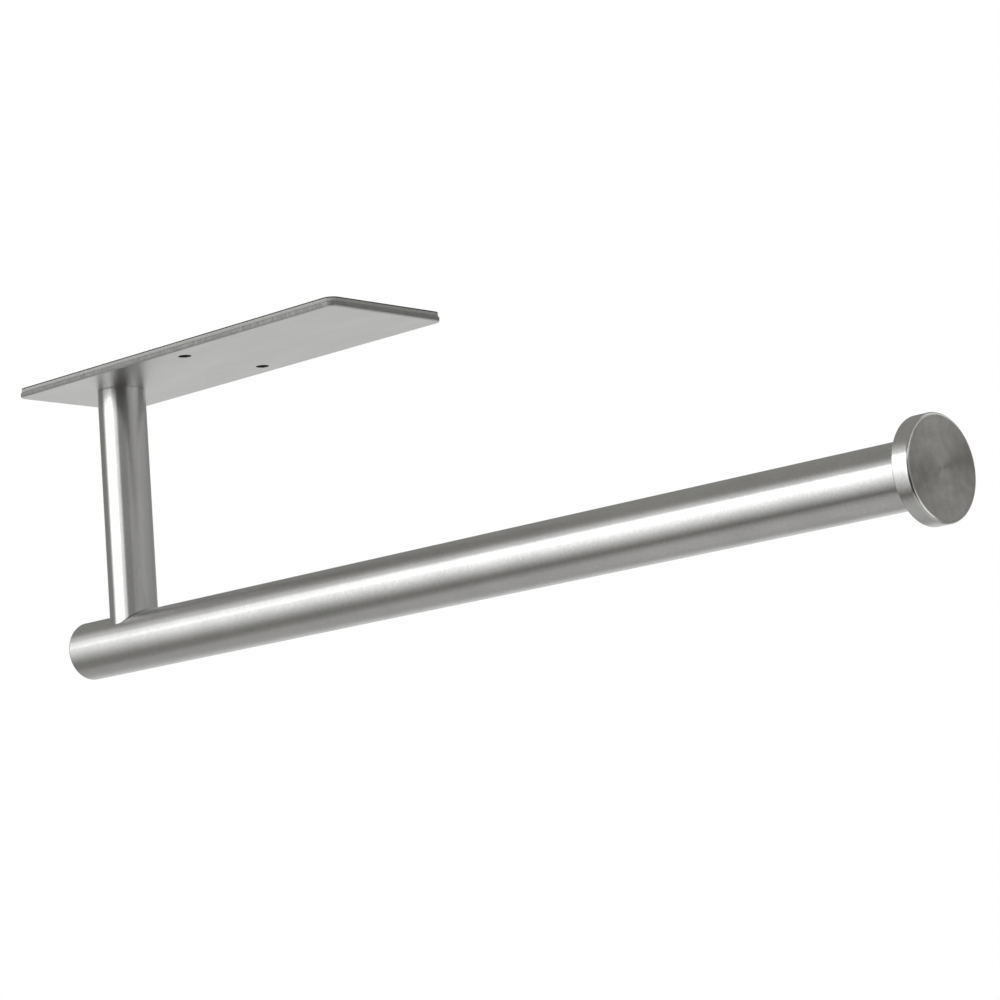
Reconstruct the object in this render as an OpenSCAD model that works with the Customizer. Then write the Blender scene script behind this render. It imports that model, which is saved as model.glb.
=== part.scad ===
// Under-cabinet paper towel holder: a flat steel plate that bonds or screws under a shelf,
// a short tubular post, and a long horizontal bar that ends in a round disc.
// Millimetres. +Z is up, +X runs along the bar to its open end, and the origin is the
// centre of the face that lies against the shelf.

/* [Mounting plate] */
// Length of the plate along the bar
plate_l = 152.5; // [120:0.5:200]
// Width of the plate across the bar
plate_w = 48.5; // [40:0.5:70]
// Sheet thickness
plate_t = 1.6; // [1.2:0.1:3]
// Radius of the plate's corners
plate_corner_r = 3; // [2:0.5:10]
// Diameter of the two screw holes
screw_hole_d = 4.2; // [3.5:0.1:6]
// Distance between the two screw holes, across the plate
screw_spacing = 33.5; // [24:0.5:34]
// Distance of the post's axis from the plate's centre
post_offset = 51.5; // [40:0.5:56]

/* [Adhesive pad] */
// Thickness of the foam tape
pad_t = 1.3; // [0.5:0.1:2]
// Thickness of the film that covers the foam
liner_t = 0.15; // [0.1:0.05:0.3]
// How far the pad stops short of the plate's edge
pad_inset = 0.2; // [0:0.1:3]
// Radius of the pad's corners
pad_corner_r = 3.2; // [2:0.5:10]
// Diameter of the pad's clearance holes over the screw holes
pad_hole_d = 9; // [7:0.5:12]

/* [Post] */
// Outer diameter of the post tube
post_d = 15.9; // [14:0.1:18]
// Distance from the plate's underside to the bar's axis
drop = 84.3; // [75:0.1:110]

/* [Bar] */
// Outer diameter of the bar tube
bar_d = 19.1; // [19:0.1:25.4]
// From the post's axis to the closed end of the bar
bar_tail = 23; // [18:1:40]
// From the post's axis to the back of the end disc
bar_reach = 325.5; // [300:0.5:340]
// Wall of both tubes
tube_wall = 1; // [0.8:0.1:1.5]

/* [End disc] */
// Diameter of the disc, small enough for a roll's core to pass over
cap_d = 30.4; // [26:0.1:36]
// Thickness of the disc
cap_t = 5.5; // [4.5:0.1:8]
// Rounding of the disc's front edge
cap_edge_r = 0.8; // [0.3:0.1:1.5]

/* [Fasteners] */
// Diameter of the tie bolt that clamps plate, post and bar together
tie_d = 5; // [4:1:6]
// Length of the tie bolt under the top of its head
tie_l = 90; // [80:1:100]
// Diameter of the stud that holds the end disc
stud_d = 6; // [5:1:6]
// Length of that stud
stud_l = 14; // [12:1:16]

/* [Hidden] */
$fn = 96;

press_gap = 0.03;      // radial room between a plug and the tube that it is pressed into
thread_gap = 0.05;     // radial room between a thread's crest and its tapped hole
seam_gap = 0.03;       // room where the post's end meets the round of the bar
clear_gap = 0.25;      // radial room of the plain bores around the tie bolt
cut = 1;               // how far a cutting shape runs past the face that it cuts

pad_top = -liner_t;
plate_top = pad_top - pad_t;
plate_under = plate_top - plate_t;
bar_z = plate_under - drop;
post_x = -post_offset;
bar_start = post_x - bar_tail;
bar_stop = post_x + bar_reach;
post_bore_d = post_d - 2 * tube_wall;
bar_bore_d = bar_d - 2 * tube_wall;

boss_l = 12;           // how far the boss stands into the post
boss_collar_d = 12.6;  // the part of the boss that fills the hole in the plate
bush_l = 10;           // length of the saddle bush on the post's axis
tie_head_d = 2 * tie_d;
tie_thread_l = 22;
tie_pitch = 0.8;
hex_socket = 3;        // width across the flats of both sockets
tie_socket_depth = 1.9;
stud_pitch = 1;
stud_socket_depth = 3;
stud_in_cap = 3.4;     // how far the stud goes into the disc, past its back face
saddle_nut_l = 18;
end_plug_l = 6;
cap_insert_l = 12;
cap_spigot_l = 1.8;    // the short step that centres the disc in the tube
cap_insert_depth = 2;  // how far the insert sits inside the tube's mouth

// A flat plate with round corners, its top face at z = 0
module rounded_sheet(l, w, t, r) {
    translate([0, 0, -t]) linear_extrude(t) {
        square([l - 2 * r, w], center = true);
        square([l, w - 2 * r], center = true);
        for (sx = [-1, 1], sy = [-1, 1])
            translate([sx * (l / 2 - r), sy * (w / 2 - r)]) circle(r);
    }
}

// Two round cutters, one at each screw hole
module screw_hole_cuts(d) {
    for (sy = [-1, 1])
        translate([0, sy * screw_spacing / 2, plate_under - cut]) cylinder(d = d, h = -plate_under + 2 * cut);
}

// A cylinder along +X from x0, on the bar's axis
module on_bar(x0, d, l) {
    translate([x0, 0, bar_z]) rotate([0, 90, 0]) cylinder(d = d, h = l);
}

// A cylinder that hangs down from z0, on the post's axis
module on_post(z0, d, l) {
    translate([post_x, 0, z0 - l]) cylinder(d = d, h = l);
}

// A 90 degree countersink that is d wide at z0 and closes downwards to end_d
module countersink(z0, d, end_d) {
    depth = (d - end_d) / 2;
    translate([post_x, 0, z0 - depth]) cylinder(d1 = end_d, d2 = d, h = depth);
}

// A length of screw thread as ring grooves, standing on z = 0
module threaded_rod(d, l, pitch) {
    root_r = d / 2 - 0.6 * pitch;
    turns = floor(l / pitch);
    profile = [
        for (i = [0 : turns - 1]) each [
            [root_r, i * pitch],
            [d / 2, (i + 0.5) * pitch]
        ]
    ];
    rotate_extrude() polygon(concat([[0, 0]], profile, [[root_r, turns * pitch], [root_r, l], [0, l]]));
}

// A hexagonal socket that opens at z = 0 and goes down
module hex_recess(flats, depth) {
    translate([0, 0, -depth]) cylinder(d = flats / cos(30), h = depth + cut, $fn = 6);
}

// Stainless sheet with two screw holes and the hole that takes the boss's collar
module mounting_plate() {
    color("silver") difference() {
        translate([0, 0, plate_top]) rounded_sheet(plate_l, plate_w, plate_t, plate_corner_r);
        screw_hole_cuts(screw_hole_d);
        on_post(plate_top + cut, boss_collar_d + 2 * press_gap, plate_t + 2 * cut);
    }
}

// Turned boss, welded to the plate, that centres the post and seats the bolt's head
module post_boss() {
    color("darkgray") difference() {
        union() {
            on_post(plate_under, post_bore_d - 2 * press_gap, boss_l);
            on_post(plate_top, boss_collar_d, plate_t);
        }
        on_post(plate_top + cut, tie_d + 2 * clear_gap, plate_t + boss_l + 2 * cut);
        countersink(plate_top, tie_head_d + 2 * clear_gap, tie_d + 2 * clear_gap);
    }
}

// Double-sided foam tape, cut a little smaller than the plate
module adhesive_pad() {
    color("gainsboro") difference() {
        translate([0, 0, pad_top])
            rounded_sheet(plate_l - 2 * pad_inset, plate_w - 2 * pad_inset, pad_t, pad_corner_r);
        screw_hole_cuts(pad_hole_d);
    }
}

// Film over the foam's upper face, peeled off before the holder is stuck up
module release_liner() {
    color("dimgray") difference() {
        rounded_sheet(plate_l - 2 * pad_inset, plate_w - 2 * pad_inset, liner_t, pad_corner_r);
        screw_hole_cuts(pad_hole_d);
    }
}

// Upright tube whose lower end is cut to the round of the bar
module post_tube() {
    color("silver") difference() {
        on_post(plate_under, post_d, drop);
        on_post(plate_under + cut, post_bore_d, drop + 2 * cut);
        on_bar(post_x - post_d, bar_d + 2 * seam_gap, 2 * post_d);
    }
}

// Plug in the post's lower end that keeps the bolt on the axis
module saddle_bush() {
    color("darkgray") difference() {
        on_post(bar_z + bar_d / 2 + bush_l, post_bore_d - 2 * press_gap, bar_d / 2 + bush_l);
        on_bar(post_x - post_d, bar_d + 2 * seam_gap, 2 * post_d);
        on_post(plate_under, tie_d + 2 * clear_gap, drop + cut);
    }
}

// Countersunk bolt from the plate's top, down the post, into the nut inside the bar
module tie_bolt() {
    head_h = (tie_head_d - tie_d) / 2;
    color("lightgray") difference() {
        union() {
            countersink(plate_top, tie_head_d, tie_d);
            on_post(plate_top - head_h, tie_d, tie_l - head_h - tie_thread_l);
            translate([post_x, 0, plate_top - tie_l]) threaded_rod(tie_d, tie_thread_l, tie_pitch);
        }
        translate([post_x, 0, plate_top]) hex_recess(hex_socket, tie_socket_depth);
    }
}

// Long tube that carries the roll, drilled once on top for the bolt
module bar_tube() {
    color("silver") difference() {
        on_bar(bar_start, bar_d, bar_stop - bar_start);
        on_bar(bar_start - cut, bar_bore_d, bar_stop - bar_start + 2 * cut);
        on_post(bar_z + bar_d, tie_d + 2 * clear_gap, bar_d);
    }
}

// Round slug inside the bar, tapped across for the bolt
module saddle_nut() {
    color("darkgray") difference() {
        on_bar(post_x - saddle_nut_l / 2, bar_bore_d - 2 * press_gap, saddle_nut_l);
        on_post(bar_z + bar_d, tie_d + 2 * thread_gap, 2 * bar_d);
    }
}

// Disc pressed flush into the bar's closed end
module bar_end_plug() {
    color("silver") on_bar(bar_start, bar_bore_d - 2 * press_gap, end_plug_l);
}

// Tapped plug pressed into the bar's open end
module cap_insert() {
    start = bar_stop - cap_insert_depth - cap_insert_l;
    color("darkgray") difference() {
        on_bar(start, bar_bore_d - 2 * press_gap, cap_insert_l);
        on_bar(start - cut, stud_d + 2 * thread_gap, cap_insert_l + 2 * cut);
    }
}

// Socket set screw that joins the insert and the end disc
module cap_stud() {
    color("lightgray") translate([bar_stop + stud_in_cap, 0, bar_z]) rotate([0, -90, 0]) difference() {
        threaded_rod(stud_d, stud_l, stud_pitch);
        translate([0, 0, stud_l]) hex_recess(hex_socket, stud_socket_depth);
    }
}

// Turned disc that stops the roll, with a rounded front edge and a tapped back
module end_cap() {
    r = cap_d / 2;
    blind_l = cap_spigot_l + stud_in_cap + 2 * thread_gap;
    color("gray") difference() {
        translate([bar_stop, 0, bar_z]) rotate([0, 90, 0]) union() {
            rotate_extrude() {
                square([r, cap_t - cap_edge_r]);
                square([r - cap_edge_r, cap_t]);
                translate([r - cap_edge_r, cap_t - cap_edge_r]) circle(cap_edge_r);
            }
            translate([0, 0, -cap_spigot_l]) cylinder(d = bar_bore_d - 2 * press_gap, h = cap_spigot_l + cut);
        }
        on_bar(bar_stop - cap_spigot_l - cut, stud_d + 2 * thread_gap, blind_l + cut);
    }
}

mounting_plate();
post_boss();
adhesive_pad();
release_liner();
post_tube();
saddle_bush();
tie_bolt();
bar_tube();
saddle_nut();
bar_end_plug();
cap_insert();
cap_stud();
end_cap();
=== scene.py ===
"""Looks of an under-cabinet paper towel holder in brushed stainless steel, built around its CAD frame."""

import math

import bmesh
import bpy
from mathutils import Matrix, Vector


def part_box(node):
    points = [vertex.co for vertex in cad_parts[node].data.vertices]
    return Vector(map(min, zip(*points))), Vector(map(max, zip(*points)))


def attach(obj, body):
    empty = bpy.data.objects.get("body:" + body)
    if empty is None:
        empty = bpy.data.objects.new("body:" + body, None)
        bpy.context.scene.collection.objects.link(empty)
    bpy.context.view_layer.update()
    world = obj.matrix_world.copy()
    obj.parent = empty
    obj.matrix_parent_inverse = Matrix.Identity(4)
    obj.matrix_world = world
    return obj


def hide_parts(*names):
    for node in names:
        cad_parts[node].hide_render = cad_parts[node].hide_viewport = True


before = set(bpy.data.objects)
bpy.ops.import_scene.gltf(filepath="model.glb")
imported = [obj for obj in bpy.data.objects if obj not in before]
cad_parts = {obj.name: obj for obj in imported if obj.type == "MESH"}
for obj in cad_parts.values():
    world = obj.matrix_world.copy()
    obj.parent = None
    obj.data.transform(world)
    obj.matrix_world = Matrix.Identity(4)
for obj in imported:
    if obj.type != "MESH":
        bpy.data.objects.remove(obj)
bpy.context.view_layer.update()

MM = 0.001
scene = bpy.context.scene

# ---------------------------------------------------------------------------------------------
# Camera. A long lens, a little below the bar and off its open end, so that it looks up at the
# underside of the plate. The whole frame is tipped a few degrees.
bar_low, bar_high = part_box("bar_tube")
post_low, post_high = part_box("post_tube")
bar_z = (bar_low.z + bar_high.z) / 2
post_x = (post_low.x + post_high.x) / 2

camera_turn = math.radians(43.31)
camera_rise = math.radians(-9.51)
camera_tilt = math.radians(-4.26)
camera_distance = 1.04522
aim_past_post = 0.16914
aim_above_bar = 0.01877
aim = Vector((post_x + aim_past_post, 0, bar_z + aim_above_bar))

back = Vector((math.sin(camera_turn) * math.cos(camera_rise),
               -math.cos(camera_turn) * math.cos(camera_rise),
               math.sin(camera_rise)))
level_right = Vector((math.cos(camera_turn), math.sin(camera_turn), 0))
level_up = back.cross(level_right)
camera_right = level_right * math.cos(camera_tilt) + level_up * math.sin(camera_tilt)
camera_up = back.cross(camera_right)

camera_data = bpy.data.cameras.new("camera")
camera_data.lens = 126.5
camera_data.sensor_width = 36
camera_data.clip_start = 0.01
camera = bpy.data.objects.new("camera", camera_data)
scene.collection.objects.link(camera)
turn = Matrix((camera_right, camera_up, back)).transposed()
camera.matrix_world = Matrix.Translation(aim + back * camera_distance) @ turn.to_4x4()
scene.camera = camera

# ---------------------------------------------------------------------------------------------
# Studio. One wide soft panel at the left front, weaker ones at the right and the back, and warm
# grey walls with some darker stretches, which are patches of negative strength. The steel shows
# this room, while the camera sees a plain white one.
scene.view_settings.view_transform = "Standard"
world = bpy.data.worlds.new("studio")
world.use_nodes = True
scene.world = world
room = world.node_tree
room.nodes.clear()


def feed(tree, value, socket):
    """Links another socket to this one, or sets a plain number or colour on it."""
    if isinstance(value, bpy.types.NodeSocket):
        tree.links.new(value, socket)
    else:
        socket.default_value = value


def calc(tree, operation, *values):
    """A Math node on numbers or sockets. Returns its output."""
    node = tree.nodes.new("ShaderNodeMath")
    node.operation = operation
    for socket, value in zip(node.inputs, values):
        feed(tree, value, socket)
    return node.outputs[0]


def ramp(tree, value, start, end, low=0.0, high=1.0, kind="SMOOTHSTEP"):
    """A Map Range node that goes from low to high as value goes from start to end."""
    node = tree.nodes.new("ShaderNodeMapRange")
    node.interpolation_type = kind
    limits = {"Value": value, "From Min": start, "From Max": end, "To Min": low, "To Max": high}
    for name, limit in limits.items():
        feed(tree, limit, node.inputs[name])
    return node.outputs["Result"]


direction = room.nodes.new("ShaderNodeTexCoord")
split = room.nodes.new("ShaderNodeSeparateXYZ")
room.links.new(direction.outputs["Generated"], split.inputs[0])
east, north, rise = split.outputs
azimuth = calc(room, "DEGREES", calc(room, "ARCTAN2", east, calc(room, "MULTIPLY", north, -1.0)))
elevation = calc(room, "DEGREES", calc(room, "ARCSINE", rise))


def patch(name, sides, heights, strength):
    """A soft patch of light between two azimuths and two elevations. Each side is (start, full)."""
    (left, left_full), (right, right_full) = sides
    (bottom, bottom_full), (top, top_full) = heights
    from_left = ramp(room, azimuth, left, left_full)
    from_right = ramp(room, azimuth, right, right_full)
    across = calc(room, "MULTIPLY", from_left, from_right)
    lower = ramp(room, elevation, bottom, bottom_full, kind="LINEAR")
    upright = calc(room, "MULTIPLY", lower, ramp(room, elevation, top, top_full))
    light = calc(room, "MULTIPLY", calc(room, "MULTIPLY", across, upright), strength)
    light.node.label = name
    return light


wall = 0.38
darkest = 0.02
brightness = 0.8
tinted_below, neutral_above = 0.35, 1.1
lights = [
    patch("key", ((-60, -32), (9, -14)), ((7, 16), (30, 25)), 2.6),
    patch("key right", ((-30, -14), (26, 17)), ((-12, 0), (30, 22)), 1.1),
    patch("key below", ((-60, -38), (12, -10)), ((-36, 8), (19, 10)), 2.1),
    patch("key left", ((-84, -64), (-50, -38)), ((15, 21), (31, 26)), 0.9),
    patch("front crown", ((-85, -60), (10, -10)), ((22, 28), (47, 30)), 0.7),
    patch("dark front right", ((16, 22), (62, 52)), ((-10, 0), (34, 20)), -0.13),
    patch("dark front low", ((-90, -74), (20, 0)), ((-45.5, -43), (-37, -40)), -0.33),
    patch("dark low right", ((4, 16), (84, 72)), ((-60, -50), (0, -10)), -0.33),
    patch("right", ((52, 62), (120, 100)), ((-14, 0), (34, 20)), 0.04),
    patch("right low", ((74, 88), (138, 124)), ((-60, -45), (-10, -20)), 1.0),
    patch("back right", ((126, 134), (178, 170)), ((-25, -10), (30, 20)), -0.03),
    patch("back panel", ((130, 150), (179.9, 179)), ((24, 34), (66, 56)), 0.7),
    patch("left", ((-179.9, -179), (-56, -80)), ((0, 6), (40, 24)), -0.06),
    patch("back left low", ((-179.9, -179), (-95, -115)), ((-40, -20), (6, 0)), 0.7),
    patch("table", ((-180, -179.9), (180, 179.9)), ((-91, -90), (-44, -46)), 0.31),
]
glow = wall
for light in lights:
    glow = calc(room, "ADD", light, glow)
glow = calc(room, "MAXIMUM", glow, darkest)

steel_room = room.nodes.new("ShaderNodeBackground")
room.links.new(glow, steel_room.inputs["Strength"])
wall_tint = room.nodes.new("ShaderNodeCombineColor")
wall_tint.inputs["Red"].default_value = brightness
for channel, share in (("Green", 0.9925), ("Blue", 0.9525)):
    tint = ramp(room, glow, tinted_below, neutral_above, share * brightness, brightness)
    room.links.new(tint, wall_tint.inputs[channel])
room.links.new(wall_tint.outputs["Color"], steel_room.inputs["Color"])
white_room = room.nodes.new("ShaderNodeBackground")
white_room.inputs["Color"].default_value = (1, 1, 1, 1)
which_ray = room.nodes.new("ShaderNodeLightPath")
choose = room.nodes.new("ShaderNodeMixShader")
room.links.new(which_ray.outputs["Is Camera Ray"], choose.inputs[0])
room.links.new(steel_room.outputs[0], choose.inputs[1])
room.links.new(white_room.outputs[0], choose.inputs[2])
room_output = room.nodes.new("ShaderNodeOutputWorld")
room.links.new(choose.outputs[0], room_output.inputs["Surface"])

lamp_data = bpy.data.lights.new("overhead_softbox", "AREA")
lamp_data.shape = "DISK"
lamp_data.size = 3.0
lamp_data.energy = 95
lamp = bpy.data.objects.new("overhead_softbox", lamp_data)
lamp.location = (-0.6, -0.8, 2.4)
lamp.rotation_euler = (-lamp.location).to_track_quat("-Z", "Y").to_euler()
lamp.visible_camera = False
lamp.visible_glossy = False
scene.collection.objects.link(lamp)

floor_drop = 0.42
floor_reach = 14.0
floor_mesh = bpy.data.meshes.new("floor")
shape = bmesh.new()
bmesh.ops.create_circle(shape, cap_ends=True, segments=96, radius=floor_reach)
bmesh.ops.translate(shape, verts=shape.verts, vec=(0, 0, bar_low.z - floor_drop))
shape.to_mesh(floor_mesh)
shape.free()
floor = bpy.data.objects.new("floor", floor_mesh)
scene.collection.objects.link(floor)
floor_paint = bpy.data.materials.new("pale_floor")
floor_paint.use_nodes = True
floor_shader = floor_paint.node_tree.nodes["Principled BSDF"]
floor_shader.inputs["Base Color"].default_value = (0.86, 0.86, 0.85, 1)
floor_shader.inputs["Roughness"].default_value = 0.9
floor_mesh.materials.append(floor_paint)
floor.visible_glossy = False

# ---------------------------------------------------------------------------------------------
# Mounting plate. 1.6 mm stainless sheet, cut with round corners and two plain screw holes, and
# brushed along its length, which rounds its lower edge. The cut edges stay dull and darker.
plate_low, plate_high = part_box("mounting_plate")
screw_spacing = 33.5 * MM
screw_hole_r = 2.1 * MM
boss_hole_r = 6.33 * MM
plate_corner = 3 * MM
plate_rounding = (0.5 * MM, 0.2 * MM)
drilled_edge = 0.12 * MM
hole_sides = 48
noise_low, noise_high = 0.3, 0.7
hair_share = 0.55


def new_material(name):
    """A material with only an output and a Principled BSDF. Returns it with its tree and shader."""
    material = bpy.data.materials.new(name)
    material.use_nodes = True
    tree = material.node_tree
    return material, tree, tree.nodes["Principled BSDF"]


def streaks(tree, stretch, detail=2.0):
    """Noise on object coordinates, with one number of cells to the metre for each axis."""
    place = tree.nodes.new("ShaderNodeTexCoord")
    mapping = tree.nodes.new("ShaderNodeMapping")
    mapping.inputs["Scale"].default_value = stretch
    noise = tree.nodes.new("ShaderNodeTexNoise")
    noise.inputs["Scale"].default_value = 1.0
    noise.inputs["Detail"].default_value = detail
    tree.links.new(place.outputs["Object"], mapping.inputs["Vector"])
    tree.links.new(mapping.outputs["Vector"], noise.inputs["Vector"])
    return noise.outputs["Fac"]


def blend_colours(tree, factor, *colours):
    """A Mix node between two colours, plain ones or sockets. Returns its output. The node has sockets
    for each kind of value, and those for colours are inputs 6 and 7 and output 2."""
    node = tree.nodes.new("ShaderNodeMix")
    node.data_type = "RGBA"
    tree.links.new(factor, node.inputs["Factor"])
    for socket, colour in zip(node.inputs[6:8], colours):
        feed(tree, colour, socket)
    return node.outputs[2]


def press_bump(tree, shader, height, strength, depth):
    """Feeds a height into the shader's normal. depth is the real depth of the marks."""
    bump = tree.nodes.new("ShaderNodeBump")
    bump.inputs["Strength"].default_value = strength
    bump.inputs["Distance"].default_value = depth
    tree.links.new(height, bump.inputs["Height"])
    tree.links.new(bump.outputs["Normal"], shader.inputs["Normal"])


def vary_shine(tree, shader, marks, shine):
    """The roughness follows the noise. shine is the roughness in its (light, dark) marks."""
    roughness = ramp(tree, marks, noise_low, noise_high, shine[1], shine[0])
    tree.links.new(roughness, shader.inputs["Roughness"])


def smear_gloss(tree, shader, stretch):
    """Makes the surface metal, with its gloss smeared along U by stretch, from 0 to 1."""
    shader.inputs["Metallic"].default_value = 1.0
    shader.inputs["Anisotropic"].default_value = stretch
    along = tree.nodes.new("ShaderNodeTangent")
    along.direction_type = "UV_MAP"
    along.uv_map = "UVMap"
    tree.links.new(along.outputs["Tangent"], shader.inputs["Tangent"])


def add_shares(tree, first, share, second):
    """Two noises in one, the first by its share and the second by the rest."""
    first_part = calc(tree, "MULTIPLY", first, share)
    return calc(tree, "ADD", first_part, calc(tree, "MULTIPLY", second, 1 - share))


def brushed_steel(name, fine, broad, shine, stretch, depth, dark, light):
    """Brushed stainless steel. fine and broad are the cells to the metre of its hairs and of its
    bands, along x, y and z, and depth is how deep the hairs are."""
    material, tree, shader = new_material(name)
    hairs = streaks(tree, fine)
    bands = streaks(tree, broad, detail=3.0)
    grain = add_shares(tree, hairs, hair_share, bands)
    shade = ramp(tree, grain, noise_low, noise_high)
    tree.links.new(blend_colours(tree, shade, dark, light), shader.inputs["Base Color"])
    vary_shine(tree, shader, grain, shine)
    press_bump(tree, shader, hairs, strength=0.35, depth=depth)
    smear_gloss(tree, shader, stretch)
    return material


def plain_steel(name, cells, dark, light, shine, depth):
    """Steel with no single grain: a cut edge, the wall of a drilled hole, or plating."""
    material, tree, shader = new_material(name)
    marks = streaks(tree, cells, detail=3.0)
    tree.links.new(blend_colours(tree, marks, dark, light), shader.inputs["Base Color"])
    vary_shine(tree, shader, marks, shine)
    press_bump(tree, shader, marks, strength=0.4, depth=depth)
    shader.inputs["Metallic"].default_value = 1.0
    return material


def sheet_mesh(name, low, high, corner, holes, rounding, hole_edge):
    """A flat sheet that fills a box, with round corners and round holes. Each hole is (x, y, radius),
    and rounding is that of the (lower, upper) edge. The faces and most of the lower rounding have
    material slot 0, the rest of the edge slot 1, and the rest of the holes' walls slot 2."""
    size = high - low
    bottom, top = low.z, high.z
    flat_rim = 0.25 * MM
    corner_steps = 14
    arc_steps = 4
    quarter = [math.pi / 2 * i / arc_steps for i in range(arc_steps + 1)]

    def section(lower, upper):
        points = [(lower + flat_rim, bottom)]
        points += [(lower * (1 - math.sin(a)), bottom + lower * (1 - math.cos(a))) for a in quarter]
        points += [(upper * (1 - math.cos(a)), top - upper * (1 - math.sin(a))) for a in quarter]
        return points + [(upper + flat_rim, top)]

    def outline(inset):
        points = []
        for k, (sx, sy) in enumerate(((1, 1), (-1, 1), (-1, -1), (1, -1))):
            for i in range(corner_steps + 1):
                a = math.pi / 2 * (k + i / corner_steps)
                points.append((sx * (size.x / 2 - corner) + (corner - inset) * math.cos(a),
                               sy * (size.y / 2 - corner) + (corner - inset) * math.sin(a)))
        return points

    def hole(x, y, radius, inset):
        turns = [math.tau * i / hole_sides for i in range(hole_sides)]
        return [(x + (radius + inset) * math.cos(a), y + (radius + inset) * math.sin(a)) for a in turns]

    shape = bmesh.new()
    flats = {bottom: [], top: []}
    rims = [(outline, section(*rounding), 1)]
    rims += [(lambda inset, h=h: hole(*h, inset), section(hole_edge, hole_edge), 2) for h in holes]
    for rim, edge_section, slot in rims:
        rings = [[shape.verts.new((x, y, z)) for x, y in rim(inset)] for inset, z in edge_section]
        count = len(rings[0])
        for step, (ring, next_ring) in enumerate(zip(rings, rings[1:])):
            for i in range(count):
                j = (i + 1) % count
                face = shape.faces.new((ring[i], ring[j], next_ring[j], next_ring[i]))
                face.material_index = 0 if step < arc_steps else slot
        for ring, level in ((rings[0], bottom), (rings[-1], top)):
            flats[level] += [shape.edges.get((ring[i], ring[(i + 1) % count])) for i in range(count)]
    for edges in flats.values():
        made = bmesh.ops.triangle_fill(shape, use_beauty=True, edges=edges)
        for item in made["geom"]:
            if isinstance(item, bmesh.types.BMFace):
                item.material_index = 0
    bmesh.ops.recalc_face_normals(shape, faces=shape.faces)
    uv = shape.loops.layers.uv.new("UVMap")
    for face in shape.faces:
        face.smooth = True
        for corner_loop in face.loops:
            x, y, z = corner_loop.vert.co
            corner_loop[uv].uv = (y / size.x + 0.5, x / size.x + z / size.x + 0.5)
    mesh = bpy.data.meshes.new(name)
    shape.to_mesh(mesh)
    shape.free()
    return mesh


def add_piece(name, mesh, *materials):
    """Puts a finished mesh in the scene at the origin, with its materials."""
    piece = bpy.data.objects.new(name, mesh)
    scene.collection.objects.link(piece)
    for material in materials:
        mesh.materials.append(material)
    return piece


def stand_in(piece, node):
    """The piece takes the CAD node's place on the holder."""
    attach(piece, "root")
    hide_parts(node)


screw_holes = [(0, side * screw_spacing / 2, screw_hole_r) for side in (-1, 1)]
plate_steel = brushed_steel(
    "plate_brushed_steel", fine=(60, 2400, 400), broad=(25, 90, 60), shine=(0.335, 0.35), stretch=0.6,
    depth=0.0008 * MM, dark=(0.625, 0.624, 0.62, 1), light=(0.685, 0.684, 0.68, 1))
edge_steel = plain_steel(
    "plate_cut_edge", cells=(900, 900, 250), dark=(0.33, 0.33, 0.325, 1), light=(0.39, 0.39, 0.38, 1),
    shine=(0.64, 0.76), depth=0.004 * MM)
# The walls of the plate's holes get a near-black steel: painted shade inside the holes.
bore_painted_shade_steel = plain_steel(
    "drilled_bore", cells=(300, 300, 2500), dark=(0.06, 0.06, 0.06, 1), light=(0.12, 0.12, 0.12, 1),
    shine=(0.3, 0.42), depth=0.01 * MM)
plate_holes = screw_holes + [(post_x, 0, boss_hole_r)]
plate_mesh = sheet_mesh("plate_sheet", plate_low, plate_high, plate_corner, plate_holes, plate_rounding,
                        drilled_edge)
plate = add_piece("plate_sheet", plate_mesh, plate_steel, edge_steel, bore_painted_shade_steel)
stand_in(plate, "mounting_plate")

# ---------------------------------------------------------------------------------------------
# Foam tape. Die-cut closed-cell foam with adhesive on both sides, a little smaller than the
# plate, with clearance holes over the two screw holes. Its cut edge shows fine cells, with a
# near-black band along the top.
pad_low, pad_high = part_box("adhesive_pad")
pad_corner = 3.2 * MM
tape_hole_r = 4.5 * MM
tape_edge = 0.12 * MM
top_band_t = 0.18 * MM
top_band_fade = 0.03 * MM

foam, tree, shader = new_material("foam_tape")
cells = streaks(tree, (5200, 5200, 5200), detail=4.0)
place = tree.nodes.new("ShaderNodeTexCoord")
split = tree.nodes.new("ShaderNodeSeparateXYZ")
tree.links.new(place.outputs["Object"], split.inputs["Vector"])
# The top 0.18 mm of the foam's cut edge turns near-black.
top_band_z = pad_high.z - top_band_t
in_top_band = ramp(tree, split.outputs["Z"], top_band_z - top_band_fade, top_band_z)
grey_dark = (0.24, 0.24, 0.235, 1)
grey_light = (0.32, 0.32, 0.31, 1)
top_band_black = (0.02, 0.02, 0.02, 1)
grey = blend_colours(tree, cells, grey_dark, grey_light)
tree.links.new(blend_colours(tree, in_top_band, grey, top_band_black), shader.inputs["Base Color"])
press_bump(tree, shader, cells, strength=0.6, depth=0.05 * MM)
shader.inputs["Roughness"].default_value = 0.75
tape_holes = [(x, y, tape_hole_r) for x, y, _ in screw_holes]
tape_mesh = sheet_mesh("foam_tape_pad", pad_low, pad_high, pad_corner, tape_holes, (tape_edge, tape_edge),
                       tape_edge)
tape = add_piece("foam_tape_pad", tape_mesh, foam, foam, foam)
stand_in(tape, "adhesive_pad")

# ---------------------------------------------------------------------------------------------
# Release film. Thin dark film on the tape's upper face, smooth and slightly rippled where the
# foam shows through, peeled off when the holder is stuck up.
film_low, film_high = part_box("release_liner")
film_edge = 0.03 * MM

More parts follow.
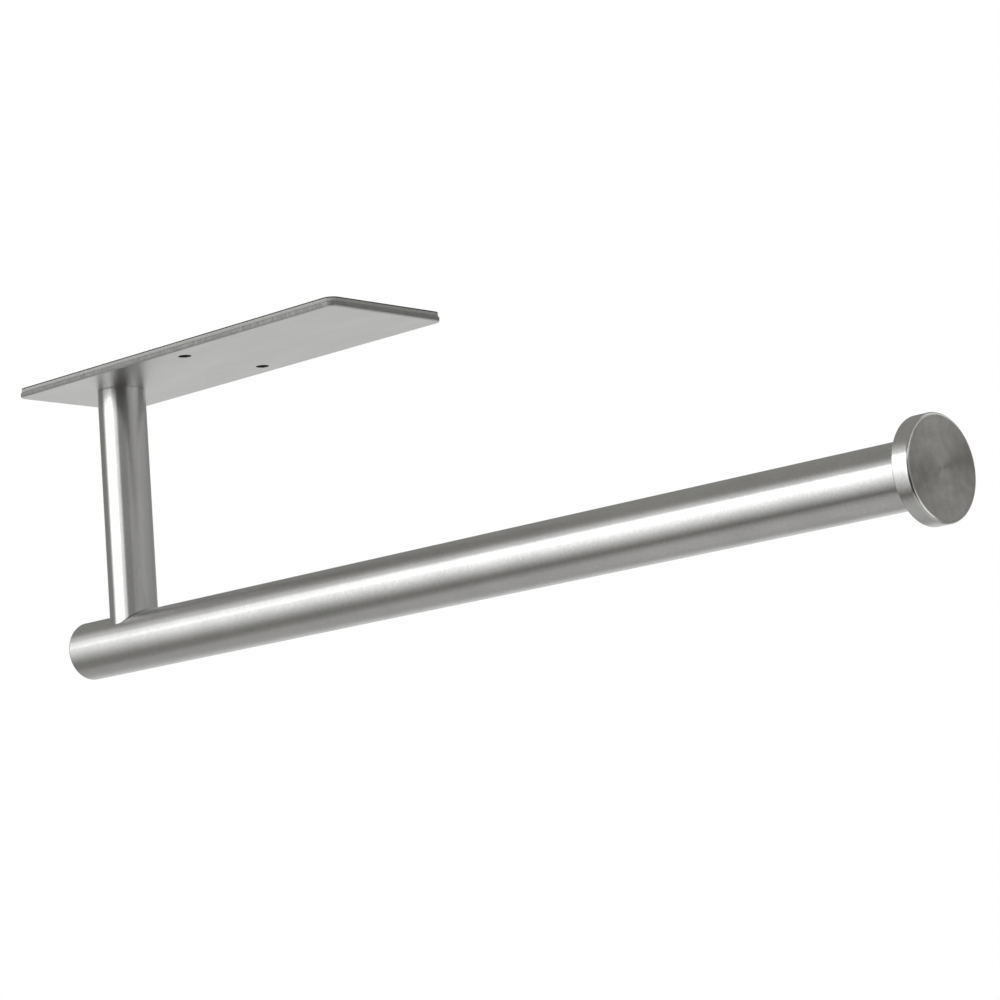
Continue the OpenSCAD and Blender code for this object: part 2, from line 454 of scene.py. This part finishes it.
film_skin, tree, shader = new_material("release_film")
ripples = streaks(tree, (160, 160, 160), detail=3.0)
film_colour = blend_colours(tree, ripples, (0.02, 0.02, 0.022, 1), (0.04, 0.04, 0.043, 1))
tree.links.new(film_colour, shader.inputs["Base Color"])
vary_shine(tree, shader, ripples, shine=(0.54, 0.42))
press_bump(tree, shader, ripples, strength=0.3, depth=0.06 * MM)
film_mesh = sheet_mesh("release_film_sheet", film_low, film_high, pad_corner, tape_holes,
                       (film_edge, film_edge), film_edge)
film = add_piece("release_film_sheet", film_mesh, film_skin, film_skin, film_skin)
stand_in(film, "release_liner")

# ---------------------------------------------------------------------------------------------
# Bar. A long stainless tube, polished on a belt as it turned, so that its fine grain runs round
# it and its reflections run straight along it. One hole on top, under the post, lets the bolt in.
bar_r = (bar_high.z - bar_low.z) / 2
tube_wall = 1.0 * MM
bolt_hole_r = 2.75 * MM
tube_finish = dict(shine=(0.245, 0.262), stretch=0.86, depth=0.0008 * MM,
                   dark=(0.605, 0.603, 0.598, 1), light=(0.695, 0.693, 0.687, 1))


def soften(corners, steps=5):
    """Rounds the corners (along, radius, fillet) of a turned section. A narrow rim each side of the
    round keeps the flats beside it flat, as it does on a sheet."""
    flat_rim = 0.3 * MM
    points = []
    for k, (a, r, fillet) in enumerate(corners):
        if fillet == 0:
            points.append((a, r))
            continue
        here = Vector((a, r))
        before = Vector(corners[k - 1][:2]) - here
        after = Vector(corners[(k + 1) % len(corners)][:2]) - here
        turn_angle = before.angle(after)
        run = fillet / math.tan(turn_angle / 2)
        start = here + before.normalized() * run
        end = here + after.normalized() * run
        inward = (before.normalized() + after.normalized()).normalized()
        middle = here + inward * fillet / math.sin(turn_angle / 2)
        points.append(tuple(start + before.normalized() * min(flat_rim, (before.length - run) / 3)))
        sweep = (end - middle).angle_signed(start - middle)
        for i in range(steps + 1):
            t = sweep * i / steps
            spoke = start - middle
            points.append((middle.x + spoke.x * math.cos(t) - spoke.y * math.sin(t),
                           middle.y + spoke.x * math.sin(t) + spoke.y * math.cos(t)))
        points.append(tuple(end + after.normalized() * min(flat_rim, (after.length - run) / 3)))
    return points


def turned(name, section, centre, lengthwise="X", closed=False, segments=128):
    """A shape of revolution from (along, radius) points. U runs along the section and V round it."""
    on_axis = 1e-7
    shape = bmesh.new()
    uv = shape.loops.layers.uv.new("UVMap")
    rings = []
    for a, r in section:
        turns = [0.0] if r < on_axis else [math.tau * i / segments for i in range(segments)]
        radius = 0.0 if r < on_axis else r
        rings.append([shape.verts.new((radius * math.cos(t), radius * math.sin(t), a)) for t in turns])
    travel = [0.0]
    pairs = list(zip(section, section[1:])) + ([(section[-1], section[0])] if closed else [])
    for first, second in pairs:
        travel.append(travel[-1] + math.dist(first, second))
    for k in range(len(pairs)):
        ring, next_ring = rings[k], rings[(k + 1) % len(rings)]
        for i in range(segments):
            j = (i + 1) % segments
            corners = [(ring[i % len(ring)], k, i),
                       (ring[j % len(ring)], k, i + 1),
                       (next_ring[j % len(next_ring)], k + 1, i + 1),
                       (next_ring[i % len(next_ring)], k + 1, i)]
            kept = [c for n, c in enumerate(corners) if c[0] is not corners[n - 1][0]]
            face = shape.faces.new([c[0] for c in kept])
            face.smooth = True
            for corner_loop, (_, step, turn_step) in zip(face.loops, kept):
                corner_loop[uv].uv = (travel[step] / travel[-1], turn_step / segments)
    bmesh.ops.recalc_face_normals(shape, faces=shape.faces)
    mesh = bpy.data.meshes.new(name)
    shape.to_mesh(mesh)
    shape.free()
    place = Matrix.Translation(centre)
    if lengthwise == "X":
        place = place @ Matrix.Rotation(math.pi / 2, 4, "Y")
    mesh.transform(place)
    return mesh


def add_turned(name, section, centre, *materials, **way):
    """Puts a shape of revolution in the scene, with its materials."""
    return add_piece(name, turned(name, section, centre, **way), *materials)


def freeze(piece):
    """Turns the piece's modifiers into plain mesh and removes them."""
    graph = bpy.context.evaluated_depsgraph_get()
    evaluated = piece.evaluated_get(graph)
    mesh = bpy.data.meshes.new_from_object(evaluated, preserve_all_data_layers=True, depsgraph=graph)
    piece.modifiers.clear()
    piece.data = mesh
    mesh.name = piece.name
    return piece


def cut_away(piece, cutter_mesh):
    """Removes the cutter's shape from the piece."""
    cutter = bpy.data.objects.new("cutter", cutter_mesh)
    scene.collection.objects.link(cutter)
    cut = piece.modifiers.new("cut", "BOOLEAN")
    cut.operation = "DIFFERENCE"
    cut.solver = "EXACT"
    cut.object = cutter
    freeze(piece)
    bpy.data.objects.remove(cutter)
    bpy.data.meshes.remove(cutter_mesh)


def drill(radius, start, end):
    """A round cutter on the post's axis. Its start and end are heights from the bar's axis."""
    return turned("drill", [(start, 0), (start, radius), (end, radius), (end, 0)],
                  Vector((post_x, 0, bar_z)), "Z", segments=hole_sides)


bar_axis = Vector((0, 0, bar_z))
bar_grain = dict(fine=(2400, 1100, 1100), broad=(60, 60, 60))
bar_steel = brushed_steel("bar_brushed_steel", **bar_grain, **tube_finish)
bar_section = soften([(bar_low.x, bar_r, 0.5 * MM), (bar_high.x, bar_r, 0.25 * MM),
                      (bar_high.x, bar_r - tube_wall, 0.15 * MM), (bar_low.x, bar_r - tube_wall, 0.2 * MM)])
bar = add_turned("roll_bar_tube", bar_section, bar_axis, bar_steel, closed=True)
cut_away(bar, drill(bolt_hole_r, 0, 2 * bar_r))
stand_in(bar, "bar_tube")

# ---------------------------------------------------------------------------------------------
# Closing disc of the bar. A turned disc pressed flush into the end beside the post, with a fine
# chamfer that leaves a hairline groove against the tube.
plug_low, plug_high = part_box("bar_end_plug")
plug_r = (plug_high.z - plug_low.z) / 2
steel_dark = (0.61, 0.607, 0.598, 1)
steel_light = (0.69, 0.687, 0.68, 1)
rings_to_the_metre = 3600
ring_share = 0.35


def axis_distance(tree, first, second):
    """How far a point is from an axis, from its two coordinates across it."""
    first_squared = calc(tree, "MULTIPLY", first, first)
    second_squared = calc(tree, "MULTIPLY", second, second)
    return calc(tree, "SQRT", calc(tree, "ADD", first_squared, second_squared))


def turned_face_steel(name, dark, light, shine, stretch):
    """Steel faced on a lathe: rings round the bar's axis, wiped a little by hand."""
    material, tree, shader = new_material(name)
    place = tree.nodes.new("ShaderNodeTexCoord")
    split = tree.nodes.new("ShaderNodeSeparateXYZ")
    tree.links.new(place.outputs["Object"], split.inputs["Vector"])
    height = calc(tree, "SUBTRACT", split.outputs["Z"], bar_z)
    rings = tree.nodes.new("ShaderNodeTexNoise")
    rings.noise_dimensions = "1D"
    rings.inputs["Scale"].default_value = rings_to_the_metre
    rings.inputs["Detail"].default_value = 2.0
    tree.links.new(axis_distance(tree, split.outputs["Y"], height), rings.inputs["W"])
    wipes = streaks(tree, (200, 300, 300), detail=3.0)
    grain = add_shares(tree, rings.outputs["Fac"], ring_share, wipes)
    shade = ramp(tree, grain, noise_low, noise_high)
    tree.links.new(blend_colours(tree, shade, dark, light), shader.inputs["Base Color"])
    vary_shine(tree, shader, grain, shine)
    press_bump(tree, shader, rings.outputs["Fac"], strength=0.3, depth=0.002 * MM)
    smear_gloss(tree, shader, stretch)
    return material


plug_steel = turned_face_steel("plug_turned_steel", dark=steel_dark, light=steel_light,
                               shine=(0.26, 0.34), stretch=0.7)
plug_section = soften([(plug_low.x, 0, 0), (plug_low.x, plug_r, 0.25 * MM),
                       (plug_high.x, plug_r, 0.25 * MM), (plug_high.x, 0, 0)])
plug = add_turned("bar_closing_disc", plug_section, bar_axis, plug_steel)
stand_in(plug, "bar_end_plug")

# ---------------------------------------------------------------------------------------------
# End disc. Turned from solid bar, with a short step that centres it in the tube, a blind tapped
# hole for the stud, a rounded front edge, and a faced front that keeps the marks of the tool.
cap_low, cap_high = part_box("end_cap")
cap_r = (cap_high.z - cap_low.z) / 2
cap_back = bar_high.x
cap_hole_r = 3.05 * MM
cap_hole_end = cap_back + 3.5 * MM
cap_front_round = 0.9 * MM
fit_gap = 0.03 * MM
cap_step_r = bar_r - tube_wall - fit_gap
flat_front = cap_high.x - 0.01 * MM

# The faced front is darker and warmer than the side steel: partly its faced finish, partly painted shade,
# as the front turns away from the bright panel.
cap_face_steel_and_shade = turned_face_steel("cap_faced_steel", dark=(0.43, 0.418, 0.4, 1), light=(0.58, 0.565, 0.542, 1),
                              shine=(0.33, 0.37), stretch=0.8)
cap_side_steel = brushed_steel("cap_side_steel", **bar_grain, **tube_finish)
cap_edge_steel = plain_steel("cap_edge_steel", cells=(900, 900, 900), dark=steel_dark, light=steel_light,
                             shine=(0.18, 0.22), depth=0.001 * MM)
cap_section = soften([
    (cap_high.x, 0, 0), (cap_high.x, cap_r, cap_front_round), (cap_back, cap_r, 0.35 * MM),
    (cap_back, cap_step_r, 0), (cap_low.x, cap_step_r, 0.2 * MM),
    (cap_low.x, cap_hole_r, 0.2 * MM), (cap_hole_end, cap_hole_r, 0), (cap_hole_end, 0, 0)], steps=9)
cap = add_turned("end_disc", cap_section, bar_axis, cap_face_steel_and_shade, cap_side_steel, cap_edge_steel)
for face in cap.data.polygons:
    if face.center.x < cap_high.x - cap_front_round:
        face.material_index = 1
    elif face.center.x < flat_front:
        face.material_index = 2
stand_in(cap, "end_cap")

# ---------------------------------------------------------------------------------------------
# Insert for the end disc. A tapped ring of turned steel, pressed into the bar's mouth just behind
# the disc's step, which holds the other end of the stud.
insert_low, insert_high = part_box("cap_insert")
insert_r = (insert_high.z - insert_low.z) / 2

turned_grey = dict(shine=(0.33, 0.4), stretch=0.5, depth=0.004 * MM, dark=(0.42, 0.42, 0.415, 1),
                   light=(0.54, 0.54, 0.535, 1))
along_bar_grain = dict(fine=(2800, 160, 160), broad=(260, 40, 40))
insert_steel = brushed_steel("insert_turned_steel", **along_bar_grain, **turned_grey)
insert_section = soften([(insert_low.x, insert_r, 0.4 * MM), (insert_high.x, insert_r, 0.3 * MM),
                         (insert_high.x, cap_hole_r, 0.4 * MM), (insert_low.x, cap_hole_r, 0.4 * MM)])
insert = add_turned("tapped_insert", insert_section, bar_axis, insert_steel, closed=True)
stand_in(insert, "cap_insert")

# ---------------------------------------------------------------------------------------------
# Stud. A zinc-plated M6 set screw with a hexagonal socket, which joins the insert and the end
# disc. Its thread is one V groove that winds the whole way along it.
stud_low, stud_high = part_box("cap_stud")
stud_r = 3 * MM
stud_pitch = 1 * MM
stud_chamfer = 0.6 * stud_pitch
stud_length = stud_high.x - stud_low.x
hex_flats = 3 * MM
stud_socket = 3 * MM
rod_sides = 48
thread_share = 0.58
skin_share = 0.97
axis_guard = 1e-6


def start_tree(name, *sizes):
    """A Geometry Nodes tree with an input for the mesh, one for each size and one for the finish.
    Returns it with its inputs and with x, y and z of the mesh's points."""
    tree = bpy.data.node_groups.new(name, "GeometryNodeTree")
    tree.interface.new_socket("Geometry", in_out="INPUT", socket_type="NodeSocketGeometry")
    for size in sizes:
        tree.interface.new_socket(size, in_out="INPUT", socket_type="NodeSocketFloat")
    tree.interface.new_socket("Finish", in_out="INPUT", socket_type="NodeSocketMaterial")
    tree.interface.new_socket("Geometry", in_out="OUTPUT", socket_type="NodeSocketGeometry")
    point = tree.nodes.new("GeometryNodeInputPosition")
    split = tree.nodes.new("ShaderNodeSeparateXYZ")
    tree.links.new(point.outputs["Position"], split.inputs["Vector"])
    return tree, tree.nodes.new("NodeGroupInput").outputs, split.outputs


def end_tree(tree, inputs, **shift):
    """Ends the tree: moves each point by the shift along X, Y or Z, and gives the mesh its finish."""
    offset = tree.nodes.new("ShaderNodeCombineXYZ")
    for axis, distance in shift.items():
        tree.links.new(distance, offset.inputs[axis])
    moved = tree.nodes.new("GeometryNodeSetPosition")
    tree.links.new(inputs["Geometry"], moved.inputs["Geometry"])
    tree.links.new(offset.outputs["Vector"], moved.inputs["Offset"])
    realized = tree.nodes.new("GeometryNodeRealizeInstances")
    tree.links.new(moved.outputs["Geometry"], realized.inputs["Geometry"])
    finished = tree.nodes.new("GeometryNodeSetMaterial")
    tree.links.new(realized.outputs["Geometry"], finished.inputs["Geometry"])
    tree.links.new(inputs["Finish"], finished.inputs["Material"])
    result = tree.nodes.new("NodeGroupOutput")
    tree.links.new(finished.outputs["Geometry"], result.inputs["Geometry"])


thread, thread_in, (rod_x, rod_y, rod_z) = start_tree(
    "thread", "Pitch", "Depth", "Rod Radius", "Thread Start", "Thread End")
turn_share = calc(thread, "DIVIDE", calc(thread, "ARCTAN2", rod_y, rod_x), math.tau)
wound = calc(thread, "SUBTRACT", calc(thread, "DIVIDE", rod_z, thread_in["Pitch"]), turn_share)
groove = calc(thread, "MULTIPLY", calc(thread, "PINGPONG", wound, 0.5), 2.0)
past_start = calc(thread, "SUBTRACT", rod_z, thread_in["Thread Start"])
before_end = calc(thread, "SUBTRACT", thread_in["Thread End"], rod_z)
pitches_inside = calc(thread, "DIVIDE", calc(thread, "MINIMUM", past_start, before_end), thread_in["Pitch"])
fade = calc(thread, "MAXIMUM", calc(thread, "MINIMUM", pitches_inside, 1.0), 0.0)
reach = axis_distance(thread, rod_x, rod_y)
skin_from = calc(thread, "MULTIPLY", thread_in["Rod Radius"], skin_share)
on_skin = calc(thread, "GREATER_THAN", reach, skin_from)
full_sink = calc(thread, "MULTIPLY", groove, thread_in["Depth"])
sink = calc(thread, "MULTIPLY", full_sink, calc(thread, "MULTIPLY", fade, on_skin))
far_enough = calc(thread, "MAXIMUM", reach, axis_guard)
inward = calc(thread, "DIVIDE", calc(thread, "MULTIPLY", sink, -1.0), far_enough)
end_tree(thread, thread_in, X=calc(thread, "MULTIPLY", rod_x, inward),
         Y=calc(thread, "MULTIPLY", rod_y, inward))


def run_tree(piece, node_group, **values):
    """Adds a node tree as a modifier, sets its named inputs, and turns the result into plain mesh."""
    modifier = piece.modifiers.new(node_group.name, "NODES")
    modifier.node_group = node_group
    for item in node_group.interface.items_tree:
        key = item.name.lower().replace(" ", "_")
        if item.in_out == "INPUT" and key in values:
            modifier[item.identifier] = values[key]
    return freeze(piece)


def rod_rings(start, end, radius, pitch):
    """Points along a rod's side, close enough together to carry a thread."""
    steps_a_pitch = 10
    count = round((end - start) / pitch * steps_a_pitch)
    return [(start + (end - start) * i / count, radius) for i in range(count + 1)]


def hex_drill(depth):
    """A hexagonal cutter that goes down from z = 0."""
    corner_r = hex_flats / math.sqrt(3)
    return turned("hex_drill", [(-depth, 0), (-depth, corner_r), (depth, corner_r), (depth, 0)],
                  Vector(), "Z", segments=6)


bright_zinc = plain_steel("bright_zinc", cells=(900, 900, 900), dark=(0.6, 0.61, 0.63, 1),
                          light=(0.7, 0.71, 0.73, 1), shine=(0.24, 0.34), depth=0.004 * MM)
stud_section = [(-stud_length, 0), (-stud_length, stud_r - stud_chamfer)]
stud_section += rod_rings(stud_chamfer - stud_length, -stud_chamfer, stud_r, stud_pitch)
stud_section += [(0, stud_r - stud_chamfer), (0, 0)]
stud = add_turned("socket_stud", stud_section, Vector(), lengthwise="Z", segments=rod_sides)
run_tree(stud, thread, pitch=stud_pitch, depth=thread_share * stud_pitch, rod_radius=stud_r,
         thread_start=-stud_length, thread_end=0.0, finish=bright_zinc)
cut_away(stud, hex_drill(stud_socket))
lie_down = Matrix.Rotation(-math.pi / 2, 4, "Y")
stud.data.transform(Matrix.Translation((stud_low.x, 0, bar_z)) @ lie_down)
stand_in(stud, "cap_stud")

# ---------------------------------------------------------------------------------------------
# Post. A short stainless tube, square at the plate and cut at its foot to the round of the bar.
# The foot is a rule: each point of its lower edge hangs at the height of the bar below it.
post_r = (post_high.x - post_low.x) / 2
seam = 0.03 * MM
straight_end = bar_z + bar_r - 3 * MM
post_blend = 10 * MM

saddle_cut, saddle_in, saddle_point = start_tree(
    "saddle_cut", "Bar Radius", "Bar Height", "Straight End", "Blend Start")
aside = saddle_point["Y"]
bar_squared = calc(saddle_cut, "MULTIPLY", saddle_in["Bar Radius"], saddle_in["Bar Radius"])
aside_squared = calc(saddle_cut, "MULTIPLY", aside, aside)
crown = calc(saddle_cut, "SQRT", calc(saddle_cut, "SUBTRACT", bar_squared, aside_squared))
bar_skin = calc(saddle_cut, "ADD", saddle_in["Bar Height"], crown)
lift = calc(saddle_cut, "SUBTRACT", bar_skin, saddle_in["Straight End"])
share = ramp(saddle_cut, saddle_point["Z"], saddle_in["Blend Start"], saddle_in["Straight End"],
             kind="LINEAR")
end_tree(saddle_cut, saddle_in, Z=calc(saddle_cut, "MULTIPLY", lift, share))

saddle = dict(bar_radius=bar_r + seam, bar_height=bar_z, straight_end=straight_end)
post_axis = Vector((post_x, 0, 0))
post_steel = brushed_steel("post_brushed_steel", fine=(1100, 1100, 2400), broad=(60, 60, 60), **tube_finish)
post_section = soften([(post_high.z, post_r, 0.15 * MM), (straight_end, post_r, 0.2 * MM),
                       (straight_end, post_r - tube_wall, 0.1 * MM),
                       (post_high.z, post_r - tube_wall, 0.1 * MM)])
post = add_turned("post_saddle_tube", post_section, post_axis, lengthwise="Z", closed=True)
run_tree(post, saddle_cut, **saddle, blend_start=straight_end + post_blend, finish=post_steel)
stand_in(post, "post_tube")

# ---------------------------------------------------------------------------------------------
# Boss. A turned plug welded into the plate. Its collar fills the plate's hole, the post fits over
# it from below, and its countersink takes the bolt's head.
boss_low, boss_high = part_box("post_boss")
boss_r = post_r - tube_wall - fit_gap
collar_r = 6.3 * MM
bolt_bore_r = 2.75 * MM
countersink_r = 5.25 * MM
boss_bore_top = boss_high.z - (countersink_r - bolt_bore_r)

boss_steel = brushed_steel("boss_turned_steel", fine=(160, 160, 2800), broad=(40, 40, 260), **turned_grey)
boss_section = soften([(boss_high.z, collar_r, 0.1 * MM), (plate_low.z, collar_r, 0),
                       (plate_low.z, boss_r, 0.15 * MM), (boss_low.z, boss_r, 0.5 * MM),
                       (boss_low.z, bolt_bore_r, 0.3 * MM), (boss_bore_top, bolt_bore_r, 0),
                       (boss_high.z, countersink_r, 0)])
boss = add_turned("turned_boss", boss_section, post_axis, boss_steel, lengthwise="Z", closed=True)
stand_in(boss, "post_boss")

# ---------------------------------------------------------------------------------------------
# Saddle bush. A moulded black nylon plug in the post's foot, with the same round of the bar cut
# across its lower face, which keeps the bolt on the post's axis.
bush_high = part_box("saddle_bush")[1]
bush_r = post_r - tube_wall - fit_gap
bush_face_rings = 9
bush_chamfer = 0.4 * MM
bush_mouth = 0.3 * MM
bush_blend = 2 * MM

nylon, tree, shader = new_material("black_nylon")
sparks = streaks(tree, (1400, 1400, 1400))
nylon_colour = blend_colours(tree, sparks, (0.016, 0.016, 0.017, 1), (0.026, 0.026, 0.028, 1))
tree.links.new(nylon_colour, shader.inputs["Base Color"])
vary_shine(tree, shader, sparks, shine=(0.55, 0.42))
press_bump(tree, shader, sparks, strength=0.3, depth=0.01 * MM)
bush_section = [(bush_high.z, bolt_bore_r + bush_mouth), (bush_high.z, bush_r - bush_chamfer),
                (bush_high.z - bush_chamfer, bush_r)]
bush_section += [(straight_end, bush_r + (bolt_bore_r - bush_r) * i / bush_face_rings)
                 for i in range(bush_face_rings + 1)]
bush_section += [(bush_high.z - bush_mouth, bolt_bore_r)]
bush = add_turned("nylon_bush", bush_section, post_axis, lengthwise="Z", closed=True)
run_tree(bush, saddle_cut, **saddle, blend_start=bush_high.z - bush_blend, finish=nylon)
stand_in(bush, "saddle_bush")

# ---------------------------------------------------------------------------------------------
# Saddle nut. A turned steel slug inside the bar, tapped across, that the bolt draws up against
# the tube's wall.
nut_low, nut_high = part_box("saddle_nut")
nut_r = (nut_high.z - nut_low.z) / 2
nut_hole_r = 2.55 * MM

nut_steel = brushed_steel("nut_turned_steel", **along_bar_grain, **turned_grey)
nut_section = soften([(nut_low.x, 0, 0), (nut_low.x, nut_r, 0.5 * MM),
                      (nut_high.x, nut_r, 0.5 * MM), (nut_high.x, 0, 0)])
nut = add_turned("tapped_slug", nut_section, bar_axis, nut_steel)
cut_away(nut, drill(nut_hole_r, -2 * nut_r, 2 * nut_r))
stand_in(nut, "saddle_nut")

# ---------------------------------------------------------------------------------------------
# Tie bolt. A long zinc-plated M5 countersunk bolt with a hexagonal socket. It goes down the post
# into the slug and clamps plate, post and bar together.
tie_low, tie_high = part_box("tie_bolt")
tie_length = tie_high.z - tie_low.z
tie_r = 2.5 * MM
tie_head_r = 5 * MM
tie_pitch = 0.8 * MM
tie_thread = 22 * MM
tie_tip = 0.5 * MM
tie_rim = 0.15 * MM
tie_rim_round = 0.1 * MM
tie_socket = 1.9 * MM

tie_section = [(-tie_length, 0), (-tie_length, tie_r - tie_tip)]
tie_section += rod_rings(tie_tip - tie_length, tie_thread - tie_length, tie_r, tie_pitch)
tie_section += [(tie_r - tie_head_r, tie_r), (-tie_rim, tie_head_r - tie_rim),
                (0, tie_head_r - tie_rim - tie_rim_round), (0, 0)]
tie = add_turned("countersunk_tie_bolt", tie_section, Vector(), lengthwise="Z", segments=rod_sides)
run_tree(tie, thread, pitch=tie_pitch, depth=thread_share * tie_pitch, rod_radius=tie_r,
         thread_start=-tie_length, thread_end=tie_thread - tie_length, finish=bright_zinc)
cut_away(tie, hex_drill(tie_socket))
tie.data.transform(Matrix.Translation((post_x, 0, tie_high.z)))
stand_in(tie, "tie_bolt")
